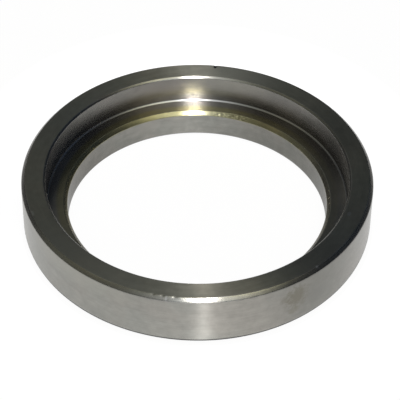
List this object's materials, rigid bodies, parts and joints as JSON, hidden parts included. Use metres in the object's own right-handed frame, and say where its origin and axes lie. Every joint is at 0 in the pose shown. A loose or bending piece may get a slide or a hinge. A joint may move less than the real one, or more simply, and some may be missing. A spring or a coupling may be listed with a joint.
{
  "type": "bearing race ring",
  "caption": "One-piece steel bearing ring: a smooth outer seat, a recessed race open at one face, and a shoulder round a narrower through bore.",
  "frame": {"origin": "centre of the back face, the plain closed face that the ring rests on", "axes": "+Z along the ring's axis, out of the race recess; X and Y lie in the back face"},
  "size_m": [0.1, 0.1, 0.0175],
  "materials": {
    "ring_steel": "fine-turned and polished bearing steel, lightly worn and stained"
  },
  "bodies": {
    "root": {"race_ring": "ring_steel"}
  },
  "joints": []
}
